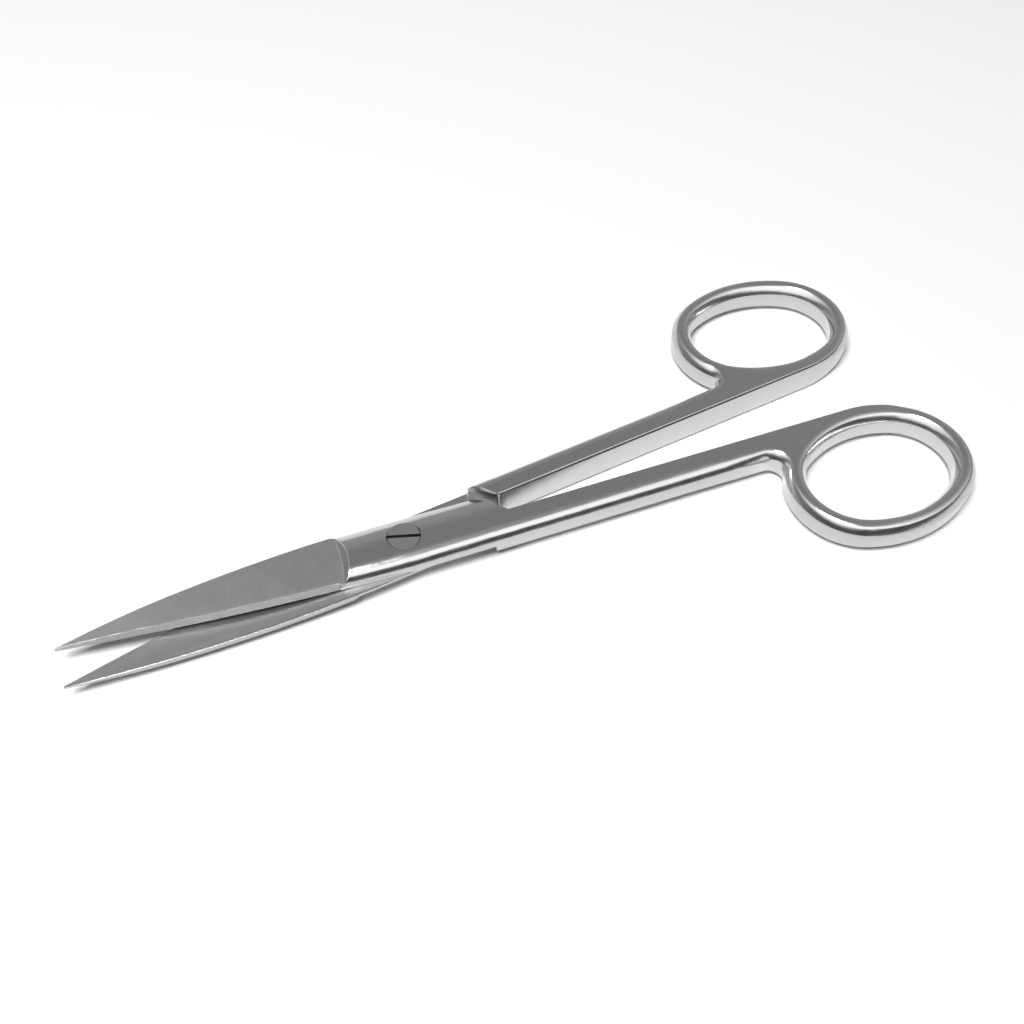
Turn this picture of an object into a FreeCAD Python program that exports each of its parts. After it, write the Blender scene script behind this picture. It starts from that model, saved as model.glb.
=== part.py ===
import FreeCAD, Part
import Sketcher
import math
import os

os.makedirs("parts", exist_ok=True)
doc = FreeCAD.newDocument("DissectingScissors")
V = FreeCAD.Vector

# Frame: the hinge axis is Z, z = 0 is the table, the rings point along +X and the tips along -X.
# One half is drawn in its own frame: outer face at z = 0, blade lying on its inner face at half the
# thickness, handle on the +Y side. The other half is the same forging turned over about X.
sizes = {
    # whole instrument, mm and degrees
    "thickness": 5.5,               # full height of the shanks and rings
    "opening": 7.4,                 # angle between the halves as modelled
    "lap_gap": 0.04,                # running gap between the two lapped halves
    "edge_break": 0.18,             # small rounding of the crisp inner edges
    "margin": 2.0,                  # cutting profiles reach this far past the metal
    # blade
    "blade_reach": 52.7,            # hinge axis to tip
    "heel_reach": 11.5,             # hinge axis to the heel, where the blade starts to taper
    "edge_width": 4.4,              # centre line to the cutting edge, at the heel
    "edge_radius": 320.0,
    "spine_width": 4.8,             # centre line to the spine, at the heel
    "spine_radius": 347.0,
    "tip_half_width": 0.12,
    "tip_offset": 0.15,             # the tip lies this far on the cutting edge's side
    "blade_thickness": 1.0,
    "tip_thickness": 0.35,
    "tip_grind_start": 35.0,        # hinge axis to where the blade gets thinner
    "ricasso_reach": 9.7,           # hinge axis to the curved line where the grinding starts
    "ricasso_offset": 2.7,          # its nearest point lies this far towards the spine
    "ricasso_radius": 26.0,
    "ricasso_slope": 28.0,          # run-out of the grinding, measured from upright
    "bevel_angle": 60.0,            # cutting bevel measured from the inner face
    "bevel_sweep": 10.0,            # the bevel's turn about the centre of the edge's curve
    "edge_land": 0.05,
    "hollow_depth": 0.14,           # hollow grinding of the inner face
    "hollow_heel": 3.3,
    "hollow_tip": 0.7,
    "hollow_start": 9.0,
    "hollow_end": 47.0,
    # lap joint
    "joint_back": 5.0,              # centre line to the joint's back edge
    "back_taper": 6.5,              # length over which the back edge narrows to the heel
    "dome_start": 0.5,              # the outer face is flat to here, then curves down to the back
    "dome_radius": 7.7,
    "lap_corner": 12.3,             # where the joint's back edge turns to the shank
    "lap_end": 15.2,
    "lap_end_offset": 0.75,
    "lap_merge": 16.8,              # here it meets the flat inner side
    "shoulder_inner": 16.3,         # full thickness starts here beside the inner side
    "shoulder_outer": 13.2,         # and here at the outer side
    # shank
    "inner_gap": 0.45,              # centre line to the flat inner side
    "outer_side": 5.0,              # centre line to the outer side
    "shank_rounding": 2.4,
    "shank_fade": 47.0,             # from here the rounding shrinks to that of the ring
    "joint_flare": 13.5,            # length over which the joint narrows to the heel
    # finger ring
    "ring_reach": 76.2,             # hinge axis to the centre of the ring
    "ring_tilt": 8.4,
    "hole_half_length": 12.9,
    "hole_half_width": 9.35,
    "hole_end_fullness": 0.324,     # 0 makes the hole's ends half round, more makes them tighter
    "ring_width": 3.3,
    "ring_rounding": 1.6,
    "root_rounding": 2.0,           # inside corner between the shank and the ring
    # hinge screw
    "head_diameter": 5.15,
    "head_land": 0.25,
    "head_edge": 0.08,
    "thread_diameter": 3.5,
    "bore_clearance": 0.04,
    "thread_clearance": 0.015,
    "head_sink": 0.03,
    "screw_recess": 0.06,
    "point_chamfer": 0.3,
    "slot_width": 0.55,
    "slot_depth": 0.75,
    "slot_turn": -20.2,
}

sheet = doc.addObject("Spreadsheet::Sheet", "Sizes")
sheet.Label = "Sizes"
for row, (name, value) in enumerate(sizes.items(), start=1):
    sheet.set("A%d" % row, name)
    sheet.set("B%d" % row, str(value))
    sheet.setAlias("B%d" % row, name)
doc.recompute()


def cell(text):
    """Turn plain size names into references to the sheet."""
    words = sorted(sizes, key=len, reverse=True)
    out, i = "", 0
    while i < len(text):
        for word in words:
            end = i + len(word)
            before = text[i - 1] if i else " "
            after = text[end] if end < len(text) else " "
            if text.startswith(word, i) and not (before.isalnum() or before in "_.") \
                    and not (after.isalnum() or after == "_"):
                out += "Sizes." + word
                i = end
                break
        else:
            out += text[i]
            i += 1
    return out


def number(text):
    result = sheet.evalExpression(cell(text))
    return float(getattr(result, "Value", result))


def plane(body, role):
    return next(f for f in body.Origin.OriginFeatures if f.Role == role)


def new_sketch(body, name, role="XY_Plane", offset=None):
    sketch = body.newObject("Sketcher::SketchObject", name)
    sketch.AttachmentSupport = [(plane(body, role), "")]
    sketch.MapMode = "FlatFace"
    if offset:
        sketch.setExpression("AttachmentOffset", cell(offset))
    doc.recompute()
    return sketch


def bind(sketch, kind, refs, text):
    index = sketch.addConstraint(Sketcher.Constraint(kind, *refs, number(text)))
    sketch.setExpression("Constraints[%d]" % index, cell(text))


def arc_between(start, end, radius, turn):
    """Shorter arc of the radius from start to end, turning left (1) or right (-1)."""
    chord = end - start
    half = chord.Length / 2
    normal = V(-chord.y, chord.x, 0).normalize()
    centre = (start + end) * 0.5 + normal * (turn * math.sqrt(max(radius ** 2 - half ** 2, 0)))
    first = math.atan2(start.y - centre.y, start.x - centre.x)
    last = math.atan2(end.y - centre.y, end.x - centre.x)
    circle = Part.Circle(centre, V(0, 0, 1), radius)
    if turn > 0:
        return Part.ArcOfCircle(circle, first, last), (1, 2)
    return Part.ArcOfCircle(circle, last, first), (2, 1)


def outline(sketch, corners):
    """Closed loop: each corner is (x, y, edge), the edge being None or (radius, turn) to the next."""
    points = [V(number(x), number(y), 0) for x, y, edge in corners]
    ends = []
    for i, (x, y, edge) in enumerate(corners):
        start, end = points[i], points[(i + 1) % len(points)]
        if edge is None:
            geo = sketch.addGeometry(Part.LineSegment(start, end), False)
            ends.append((geo, 1, 2))
        else:
            curve, (first, last) = arc_between(start, end, number(edge[0]), edge[1])
            geo = sketch.addGeometry(curve, False)
            ends.append((geo, first, last))
    for i in range(len(ends)):
        geo, first, last = ends[i]
        after, start, _ = ends[(i + 1) % len(ends)]
        sketch.addConstraint(Sketcher.Constraint("Coincident", geo, last, after, start))
    for (x, y, edge), (geo, first, last) in zip(corners, ends):
        bind(sketch, "DistanceX", (-1, 1, geo, first), x)
        bind(sketch, "DistanceY", (-1, 1, geo, first), y)
        if edge is not None:
            bind(sketch, "Radius", (geo,), edge[0])
    return ends


def cut_volume(body, feature):
    """Recompute and return the volume the last feature took away."""
    before = body.Shape.Volume if not body.Shape.isNull() else 0.0
    body.Tip = feature
    doc.recompute()
    return before - body.Shape.Volume


# ring geometry, as formulas: an oval of four tangent arcs turned by the ring's tilt
end_radius = "(hole_half_width - hole_end_fullness * (hole_half_length - hole_half_width))"
side_radius = ("(((hole_half_length - %s)^2 + hole_half_width^2 - %s^2) / (2 * (hole_half_width - %s)))"
               % (end_radius, end_radius, end_radius))
end_centre = "(hole_half_length - %s)" % end_radius
side_centre = "(%s - hole_half_width)" % side_radius
joint_angle = "atan2(%s; %s)" % (side_centre, end_centre)
tilt = "(ring_tilt * 1 deg)"
ring_y = ("(inner_gap + %s + ring_width - %s * cos%s)" % (side_radius, side_centre, tilt))


def ring_point(along, across):
    """Point of the ring from its own long and short axes."""
    x = "ring_reach + (%s) * cos%s + (%s) * sin%s" % (along, tilt, across, tilt)
    y = "%s - (%s) * sin%s + (%s) * cos%s" % (ring_y, along, tilt, across, tilt)
    return x, y


def oval(offset):
    """Corners of the ring's oval, the offset being measured outwards from the hole."""
    end = "%s + %s" % (end_radius, offset)
    side = "%s + %s" % (side_radius, offset)
    along = "%s + (%s) * cos(%s)" % (end_centre, end, joint_angle)
    across = "(%s) * sin(%s)" % (end, joint_angle)
    tip = "hole_half_length + %s" % offset
    return [
        ring_point(tip, "0") + ((end, 1),),
        ring_point(along, across) + ((side, 1),),
        ring_point("-(%s)" % along, across) + ((end, 1),),
        ring_point("-(%s)" % tip, "0") + ((end, 1),),
        ring_point("-(%s)" % along, "-(%s)" % across) + ((side, 1),),
        ring_point(along, "-(%s)" % across) + ((end, 1),),
    ]


# the cutting edge is an arc from the heel to the tip: half its chord, its slope and its centre
edge_run = "(blade_reach - heel_reach)"
edge_drop = "(edge_width - tip_offset - tip_half_width)"
half_chord = "(sqrt(%s^2 + %s^2) / 2)" % (edge_run, edge_drop)
edge_height = "sqrt(edge_radius^2 - %s^2)" % half_chord
edge_centre_x = ("(-(heel_reach + blade_reach) / 2 + %s * %s / (2 * %s))"
                 % (edge_height, edge_drop, half_chord))
edge_centre_y = ("(edge_width - %s / 2 - %s * %s / (2 * %s))"
                 % (edge_drop, edge_height, edge_run, half_chord))
heel_angle = "asin((heel_reach + %s) / edge_radius)" % edge_centre_x
flare = "(outer_side - edge_width)"
flare_radius = "((joint_flare^2 + %s^2) / (2 * %s))" % (flare, flare)
back_step = "(joint_back - spine_width)"
back_radius = "((back_taper^2 + %s^2) / (2 * %s))" % (back_step, back_step)
inner_face = "(thickness / 2 - lap_gap / 2)"
face_level = "(%s - blade_thickness)" % inner_face
tip_drop = "(blade_thickness - tip_thickness)"
tip_run = "(blade_reach - tip_grind_start)"
tip_grind_radius = "((%s^2 + %s^2) / (2 * %s))" % (tip_run, tip_drop, tip_drop)
fade_x = "(ring_reach + %s * sin%s)" % (side_centre, tilt)


def edges_where(shape, test):
    names = []
    for i, edge in enumerate(shape.Edges, start=1):
        points = [edge.valueAt(edge.FirstParameter + (edge.LastParameter - edge.FirstParameter) * k / 4)
                  for k in range(5)]
        if all(test(p) for p in points):
            names.append("Edge%d" % i)
    return names


def forging(label):
    """One half as forged and milled: blade and shank blank, lap, rounded sides, ring."""
    body = doc.addObject("PartDesign::Body", label)
    body.Label = label
    side = number("outer_side")

    sketch = new_sketch(body, label + "_outline")
    ring = oval("ring_width")
    root_x, root_y = ring_point("-%s" % end_centre, "0")
    outer_end = "(%s + ring_width)" % end_radius
    outline(sketch, [
        ("-heel_reach", "-spine_width", (back_radius, 1)),
        ("back_taper - heel_reach", "-joint_back", None),
        ("lap_corner", "-joint_back", None),
        ("lap_end", "-lap_end_offset", None),
        ("lap_merge", "inner_gap", None),
        (fade_x, "inner_gap", ring[4][2]),
        ring[5],
        ring[0],
        ring[1],
        ring[2],
        ring[3],
        ("%s - sqrt(%s^2 - (%s - outer_side)^2)" % (root_x, outer_end, root_y), "outer_side", None),
        ("shank_fade", "outer_side", None),
        ("joint_flare - heel_reach", "outer_side", (flare_radius, 1)),
        ("-heel_reach", "edge_width", None),
    ])
    blank = body.newObject("PartDesign::Pad", label + "_blank")
    blank.Profile = sketch
    blank.setExpression("Length", cell("thickness"))
    blank.Refine = False
    body.Tip = blank
    doc.recompute()

    sketch = new_sketch(body, label + "_ring_hole")
    outline(sketch, oval("0"))
    hole = body.newObject("PartDesign::Pocket", label + "_finger_hole")
    hole.Profile = sketch
    hole.Type = "ThroughAll"
    hole.Reversed = True
    hole.Refine = False
    print(label, "finger hole removes", round(cut_volume(body, hole), 1))

    root = body.newObject("PartDesign::Fillet", label + "_ring_root")
    root_edge = number("%s - sqrt(%s^2 - (%s - outer_side)^2)" % (root_x, outer_end, root_y))
    picked = edges_where(body.Shape, lambda p: abs(p.x - root_edge) < 0.01 and abs(p.y - side) < 0.01)
    root.Base = (hole, picked)
    root.Refine = False
    root.setExpression("Radius", cell("root_rounding"))
    print(label, "root", round(cut_volume(body, root), 2), picked)

    # the lap: half the thickness milled away as far as a slanting shoulder
    sketch = new_sketch(body, label + "_lap_outline",
                        offset="placement(vector(0; 0; thickness); rotation(0; 0; 0))")
    outline(sketch, [
        ("-heel_reach - margin", "-joint_back - margin", None),
        ("shoulder_inner", "-joint_back - margin", None),
        ("shoulder_inner", "inner_gap", None),
        ("shoulder_outer", "outer_side", None),
        ("shoulder_outer - margin", "outer_side + margin", None),
        ("-heel_reach - margin", "outer_side + margin", None),
    ])
    lap = body.newObject("PartDesign::Pocket", label + "_lap")
    lap.Profile = sketch
    lap.Refine = False
    lap.setExpression("Length", cell("thickness - " + inner_face))
    print(label, "lap removes", round(cut_volume(body, lap), 1))

    return body


def flat_edges(shape, height):
    """Edges lying in the horizontal plane at the height: their numbers and some of their points."""
    found = []
    for i, edge in enumerate(shape.Edges, start=1):
        span = edge.LastParameter - edge.FirstParameter
        points = [edge.valueAt(edge.FirstParameter + span * k / 4) for k in range(5)]
        if all(abs(p.z - height) < 0.001 for p in points):
            found.append((i, points))
    return found


def rounded(forged, label):
    """Round the shank's outer edges and the ring; along the inner side the rounding fades out."""
    shape = forged.Shape
    wide = number("shank_rounding")
    narrow = number("ring_rounding")
    small = number("edge_break")
    gap = number("inner_gap")
    side = number("outer_side")
    shank_fade = number("shank_fade")
    fade_from = number(fade_x)
    fade_to = number(oval("ring_width")[5][0])
    radii = []
    for height in (0.0, number("thickness")):
        for index, points in flat_edges(shape, height):
            low_x, high_x = min(p.x for p in points), max(p.x for p in points)
            low_y, high_y = min(p.y for p in points), max(p.y for p in points)
            if high_y - low_y < 0.001 and abs(low_y - gap) < 0.001:
                radii.append((index, small, small))
            elif low_x > fade_from - 0.01 and high_x < fade_to + 0.01 and low_y < gap + 0.001:
                radii.append((index, small, narrow))
            elif low_y > number("edge_width") - 0.001 and high_y < side + 0.001:
                start, end = (wide, narrow) if low_x > shank_fade - 0.001 else (wide, wide)
                radii.append((index, start, end))
            elif high_y > side + 0.001:
                radii.append((index, narrow, narrow))
    edges = doc.addObject("Part::Fillet", label)
    edges.Base = forged
    edges.Edges = radii
    doc.recompute()
    print(label, len(radii), "edges, volume", round(forged.Shape.Volume - edges.Shape.Volume, 1))
    return edges


def finished(base, label, countersunk):
    """Grind the blade, hollow its inner face and bore the joint."""
    body = doc.addObject("PartDesign::Body", label)
    body.Label = label
    body.BaseFeature = base
    doc.recompute()

    # outer face of the joint: a cylinder along X that falls away to the back edge
    sketch = new_sketch(body, label + "_dome_profile", "YZ_Plane",
                        "placement(vector(0; 0; -heel_reach - margin); rotation(0; 0; 0))")
    beyond = "(joint_back + margin)"
    drop = "(dome_radius - sqrt(dome_radius^2 - (dome_start + %s)^2))" % beyond
    outline(sketch, [
        ("-" + beyond, drop, ("dome_radius", 1)),
        ("dome_start", "0", None),
        ("dome_start", "-margin", None),
        ("-" + beyond, "-margin", None),
    ])
    dome = body.newObject("PartDesign::Pocket", label + "_dome")
    dome.Profile = sketch
    dome.Reversed = True
    dome.setExpression("Length", cell("heel_reach + margin + lap_merge"))
    print(label, "dome removes", round(cut_volume(body, dome), 1))

    sketch = new_sketch(body, label + "_blade_outline")
    outline(sketch, [
        ("-blade_reach", "tip_offset - tip_half_width", ("spine_radius", 1)),
        ("-heel_reach", "-spine_width", None),
        ("-heel_reach", "edge_width", ("edge_radius", 1)),
        ("-blade_reach", "tip_offset + tip_half_width", None),
    ])
    blade = body.newObject("PartDesign::Pad", label + "_blade")
    blade.Profile = sketch
    blade.setExpression("Length", cell(inner_face))
    print(label, "blade adds", round(-cut_volume(body, blade), 1))

    # outer face ground flat as far as the ricasso, where the wheel leaves a curved slope
    sketch = new_sketch(body, label + "_grinding_profile", "XZ_Plane", (
        "placement(vector(-ricasso_reach - ricasso_radius; 0; ricasso_offset); rotation(0; 0; 0))"))
    outline(sketch, [
        ("0", face_level, None),
        ("0", "-margin", None),
        ("ricasso_radius + (%s + margin) * tan(ricasso_slope * 1 deg)" % face_level, "-margin", None),
        ("ricasso_radius", face_level, None),
    ])
    ground = body.newObject("PartDesign::Groove", label + "_grinding")
    ground.Profile = sketch
    ground.ReferenceAxis = (sketch, ["V_Axis"])
    ground.Angle = 360
    print(label, "grinding removes", round(cut_volume(body, ground), 1))

    # the same face bends down towards the tip
    sketch = new_sketch(body, label + "_tip_profile", "XZ_Plane")
    outline(sketch, [
        ("-blade_reach", "%s + %s" % (face_level, tip_drop), (tip_grind_radius, 1)),
        ("-tip_grind_start", face_level, None),
        ("-tip_grind_start", "-margin", None),
        ("-blade_reach - margin", "-margin", None),
        ("-blade_reach - margin", "%s + %s" % (face_level, tip_drop), None),
    ])
    thinner = body.newObject("PartDesign::Pocket", label + "_tip_grinding")
    thinner.Profile = sketch
    thinner.Midplane = True
    thinner.setExpression("Length", cell("4 * spine_width"))
    print(label, "tip grinding removes", round(cut_volume(body, thinner), 1))

    # cutting bevel, a cone about the centre of the edge's curve
    sketch = new_sketch(body, label + "_bevel_profile", "YZ_Plane", (
        "placement(vector(%s; 0; %s); rotation(vector(0; 1; 0); %s))"
        % (edge_centre_y, edge_centre_x, heel_angle)))
    level = "%s - edge_land" % inner_face
    outline(sketch, [
        ("edge_radius", level, None),
        ("edge_radius - (%s + margin) / tan(bevel_angle * 1 deg)" % level, "-margin", None),
        ("edge_radius + margin", "-margin", None),
        ("edge_radius + margin", level, None),
    ])
    bevel = body.newObject("PartDesign::Groove", label + "_bevel")
    bevel.Profile = sketch
    bevel.ReferenceAxis = (sketch, ["V_Axis"])
    bevel.setExpression("Angle", cell("bevel_sweep * 1 deg"))
    print(label, "bevel removes", round(cut_volume(body, bevel), 2))

    # hollow grinding: a shallow trough that narrows and fades towards the tip
    troughs = []
    for name, at, width, depth in (
            ("_hollow_heel", "hollow_start", "hollow_heel", "hollow_depth"),
            ("_hollow_tip", "hollow_end", "hollow_tip", "(hollow_depth * (hollow_tip / hollow_heel)^2)")):
        sketch = new_sketch(body, label + name, "YZ_Plane",
                            "placement(vector(0; 0; -%s); rotation(0; 0; 0))" % at)
        outline(sketch, [
            ("-" + width, inner_face, ("(%s^2 + %s^2) / (2 * %s)" % (width, depth, depth), 1)),
            (width, inner_face, None),
            (width, inner_face + " + hollow_depth", None),
            ("-" + width, inner_face + " + hollow_depth", None),
        ])
        troughs.append(sketch)
    hollow = body.newObject("PartDesign::SubtractiveLoft", label + "_hollow_grinding")
    hollow.Profile = troughs[0]
    hollow.Sections = [troughs[1]]
    hollow.Ruled = True
    print(label, "hollow removes", round(cut_volume(body, hollow), 2))

    # bore for the screw, countersunk in the half that carries its head
    sketch = new_sketch(body, label + "_bore_profile", "XZ_Plane")
    if countersunk:
        head = "head_diameter / 2 + bore_clearance"
        bore = "thread_diameter / 2 + bore_clearance"
        outline(sketch, [
            ("0", "-margin", None), (head, "-margin", None), (head, "head_land", None),
            (bore, "head_land + (head_diameter - thread_diameter) / 2", None),
            (bore, "thickness / 2 + margin", None), ("0", "thickness / 2 + margin", None),
        ])
    else:
        bore = "thread_diameter / 2 + thread_clearance"
        outline(sketch, [
            ("0", "-margin", None), (bore, "-margin", None),
            (bore, "thickness / 2 + margin", None), ("0", "thickness / 2 + margin", None),
        ])
    hole = body.newObject("PartDesign::Groove", label + "_bore")
    hole.Profile = sketch
    hole.ReferenceAxis = (sketch, ["V_Axis"])
    hole.Angle = 360
    print(label, "bore removes", round(cut_volume(body, hole), 1))
    return body


def hinge_screw():
    """Countersunk screw, slotted, its head flush with the upper half."""
    body = doc.addObject("PartDesign::Body", "pivot_screw")
    body.Label = "pivot_screw"
    sketch = new_sketch(body, "screw_profile", "XZ_Plane")
    thread = "thread_diameter / 2"
    outline(sketch, [
        ("0", "screw_recess", None),
        (thread + " - point_chamfer", "screw_recess", None),
        (thread, "screw_recess + point_chamfer", None),
        (thread, "thickness - head_land - (head_diameter - thread_diameter) / 2", None),
        ("head_diameter / 2", "thickness - head_land", None),
        ("head_diameter / 2", "thickness - head_sink - head_edge", None),
        ("head_diameter / 2 - head_edge", "thickness - head_sink", None),
        ("0", "thickness - head_sink", None),
    ])
    turned = body.newObject("PartDesign::Revolution", "screw_turning")
    turned.Profile = sketch
    turned.ReferenceAxis = (sketch, ["V_Axis"])
    turned.Angle = 360
    body.Tip = turned
    doc.recompute()
    sketch = new_sketch(body, "slot_outline", offset=(
        "placement(vector(0; 0; thickness); rotation(vector(0; 0; 1); slot_turn))"))
    outline(sketch, [
        ("-head_diameter", "-slot_width / 2", None), ("head_diameter", "-slot_width / 2", None),
        ("head_diameter", "slot_width / 2", None), ("-head_diameter", "slot_width / 2", None),
    ])
    slot = body.newObject("PartDesign::Pocket", "screw_slot")
    slot.Profile = sketch
    slot.setExpression("Length", cell("slot_depth"))
    print("screw slot removes", round(cut_volume(body, slot), 2))
    return body


lower_base = rounded(forging("lower_forging"), "lower_rounded")
upper_base = rounded(forging("upper_forging"), "upper_rounded")
lower = finished(lower_base, "lower_half", False)
upper = finished(upper_base, "upper_half", True)
screw = hinge_screw()
lower.setExpression("Placement", cell("placement(vector(0; 0; 0); rotation(vector(0; 0; 1); opening / 2))"))
upper.setExpression("Placement", cell("placement(vector(0; 0; thickness); rotation(vector(0; 0; 1);"
                                      " -opening / 2) * rotation(vector(1; 0; 0); 180))"))
doc.recompute()

faults = [o.Name for o in doc.Objects if "Invalid" in o.State or "Error" in o.State]
if faults:
    raise RuntimeError("failed objects: " + ", ".join(faults))
for piece in (lower, upper, screw):
    shape = piece.Shape
    if shape.isNull() or not shape.isValid() or len(shape.Solids) != 1:
        raise RuntimeError("bad shape: " + piece.Label)
    print(piece.Label, "volume", round(shape.Volume, 1), "box", shape.BoundBox)
for piece in (lower, upper, screw):
    piece.Shape.exportStep("parts/%s.step" % piece.Label)
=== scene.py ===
import math

import bmesh
import bpy
import numpy as np
from mathutils import Matrix, Vector


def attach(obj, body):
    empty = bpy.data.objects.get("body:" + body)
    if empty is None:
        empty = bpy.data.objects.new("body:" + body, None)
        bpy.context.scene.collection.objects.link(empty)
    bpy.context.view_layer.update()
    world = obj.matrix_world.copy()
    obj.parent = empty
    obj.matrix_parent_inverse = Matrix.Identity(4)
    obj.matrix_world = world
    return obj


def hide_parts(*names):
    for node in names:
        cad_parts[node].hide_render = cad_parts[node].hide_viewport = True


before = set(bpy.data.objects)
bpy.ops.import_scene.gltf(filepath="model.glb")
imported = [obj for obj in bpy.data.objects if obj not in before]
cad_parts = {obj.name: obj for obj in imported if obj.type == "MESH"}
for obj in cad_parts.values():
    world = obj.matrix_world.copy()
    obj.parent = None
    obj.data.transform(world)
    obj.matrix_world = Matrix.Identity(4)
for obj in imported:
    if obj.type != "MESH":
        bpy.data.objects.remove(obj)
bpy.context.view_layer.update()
print("frame loaded:", ", ".join(sorted(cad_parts)))

# Each half is worked out in its own frame, in mm: outer face at z = 0, blade along -x, handle on +y.
blade = {
    "reach": 52.7,            # hinge axis to tip
    "heel": 11.5,             # hinge axis to the heel
    "edgeWidth": 4.4,         # centre line to the cutting edge at the heel
    "edgeRadius": 320.0,
    "spineWidth": 4.8,
    "spineRadius": 347.0,
    "tipHalfWidth": 0.12,
    "tipOffset": 0.15,
    "thickness": 1.0,
    "tipThickness": 0.35,
    "thinningStart": 35.0,    # from here the blade gets thinner towards the tip
    "bevelSlope": 60.0,       # degrees, from the inner face
    "edgeLand": 0.05,
    "hollowDepth": 0.14,      # hollow grinding of the inner face
    "hollowHeel": 3.3,
    "hollowTip": 0.7,
    "hollowStart": 9.0,
    "hollowEnd": 47.0,
    "grindingReach": 9.7,     # hinge axis to the curved line where the grinding starts
    "grindingOffset": 2.7,
    "grindingRadius": 26.0,
    "grindingSlope": 28.0,    # degrees, from upright
    "cornerRounding": 0.07,
    "bow": 0.42,              # each blade bows away from the other, most at mid-blade
    "grindingBlend": 0.12,    # softness of the line where the grinding starts
    "bevelBlend": 0.02,
    "roundingFall": 4.0,      # slopes at which the joint's faces sink below the blade's
    "domeFall": 0.5,
    "bevelFall": 1.5,         # and the bevel below the joint's
    "blendReach": 2.5,        # how far behind the grinding's start blade and joint blend
    "tipFadeWidth": 2.5,      # where the blade is narrower than this its roundings shrink
    "heelFadeStart": 0.6,     # from here before the heel the bevel's width grows into the rounding's
    "heelFade": 3.2,
    "lapRoundingShare": 0.7,  # of the corner rounding, on the lap face's edge
}
joint = {
    "lapFace": 2.73,
    "back": 5.0,              # centre line to the back edge
    "backTaper": 6.5,
    "domeStart": 0.5,
    "domeRadius": 7.7,
    "lapCorner": 12.3,
    "lapEnd": 15.2,
    "lapEndOffset": 0.75,
    "lapMerge": 16.8,
    "shoulderInner": 16.3,
    "shoulderOuter": 13.2,
    "flare": 13.5,
    "backFade": 1.0,          # length over which the lap's sharp end becomes the shank's rounding
    "stepStart": 12.9,        # the step under the slanting shoulder, painted darker as shade
    "stepEnd": 16.9,
    "stepLow": 2.7,
    "stepHigh": 5.1,
    "stepInset": 0.2,
    "stepShade": 0.55,
    "headBore": 2.615,        # countersink in the upper half
    "headLand": 0.25,
    "shankBore": 1.79,
    "threadBore": 1.765,
    "boreSides": 128,
}
shank = {
    "thickness": 5.5,
    "inner": 0.45,            # centre line to the flat inner side
    "outer": 5.0,             # centre line to the outer side
    "sideArcs": ((27, 2.4), (52, 1.86), (63.5, 4.4), (90, 0.9)),   # degrees from upright, radius
    "cornerArcs": ((52, 0.2), (63.5, 1.6), (90, 0.3)),
    "fadeStart": 47.0,        # the rounding narrows to the ring's from here
    "opening": 7.4,           # degrees between the halves
}
ring = {
    "reach": 76.2,
    "tilt": 8.4,
    "holeHalfLength": 12.9,
    "holeHalfWidth": 9.35,
    "endFullness": 0.324,
    "width": 3.29,
    "sideArcs": ((27, 1.36), (52, 0.85), (63.5, 5.8), (90, 0.9)),
    "rootRadius": 2.0,
}
grid = {
    # degrees round a side, from its waist (90) to the face (0)
    "angles": (90, 86, 81, 76, 71, 67, 63.5, 60, 57, 54, 51, 46, 41, 36, 31, 26, 19, 12, 5, 0),
    "faceSteps": 30,          # points across the outer face
    "lapSteps": 24,
    "lapCornerSteps": 4,
    "holdWidth": 0.04,        # narrow strip that keeps the flats flat
    "ringSteps": 150,
    "rootSteps": 16,
    "innerSteps": 26,
    "mergeDistance": 1e-7,
    "sliverLength": 1e-8,
    "sharpAngle": 32,         # degrees, past which an edge is shaded sharp
}

# numbers that follow from the sizes
holeEnd = ring["holeHalfWidth"] - ring["endFullness"] * (ring["holeHalfLength"] - ring["holeHalfWidth"])
holeSide = (((ring["holeHalfLength"] - holeEnd) ** 2 + ring["holeHalfWidth"] ** 2 - holeEnd ** 2)
            / (2 * (ring["holeHalfWidth"] - holeEnd)))
endCentre = ring["holeHalfLength"] - holeEnd
sideCentre = holeSide - ring["holeHalfWidth"]
meetAngle = math.atan2(sideCentre, endCentre)
tilt = math.radians(ring["tilt"])
ringY = shank["inner"] + holeSide + ring["width"] - sideCentre * math.cos(tilt)
rootEndX = ring["reach"] - endCentre * math.cos(tilt)
rootEndY = ringY + endCentre * math.sin(tilt)
rootCentreY = shank["outer"] + ring["rootRadius"]
rootReach = holeEnd + ring["width"] + ring["rootRadius"]
rootCentreX = rootEndX - math.sqrt(rootReach ** 2 - (rootEndY - rootCentreY) ** 2)
rootAngle = math.atan2(rootEndY - rootCentreY, rootEndX - rootCentreX)
fadeX = ring["reach"] + sideCentre * math.sin(tilt)
half = shank["thickness"] / 2
faceLevel = joint["lapFace"] - blade["thickness"]
bevelTan = math.tan(math.radians(blade["bevelSlope"]))
bevelWidth = (blade["thickness"] - blade["edgeLand"]) / bevelTan
angles = np.radians(grid["angles"])
circleDepth, circleDrop = 1 - np.sin(angles), 1 - np.cos(angles)


def sideProfile(arcs):
    # depth inside the side and fall below the face, for each angle of the surface, along arcs that
    # follow each other: across = sum of radius * change of sin, down = sum of radius * change of -cos
    across, down, start = np.zeros_like(angles), np.zeros_like(angles), 0.0
    for end, radius in arcs:
        a = np.clip(angles, math.radians(start), math.radians(end))
        across += radius * (np.sin(a) - math.sin(math.radians(start)))
        down += radius * (math.cos(math.radians(start)) - np.cos(a))
        start = end
    return across.max() - across, down


shankDepth, shankDrop = sideProfile(shank["sideArcs"])
ringDepth, ringDrop = sideProfile(ring["sideArcs"])
cornerDepth, cornerDrop = sideProfile(shank["cornerArcs"])


def smoothStep(t):
    # three squares less two cubes, level at 0 and at 1
    t = np.clip(t, 0, 1)
    return t * t * (3 - 2 * t)


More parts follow.
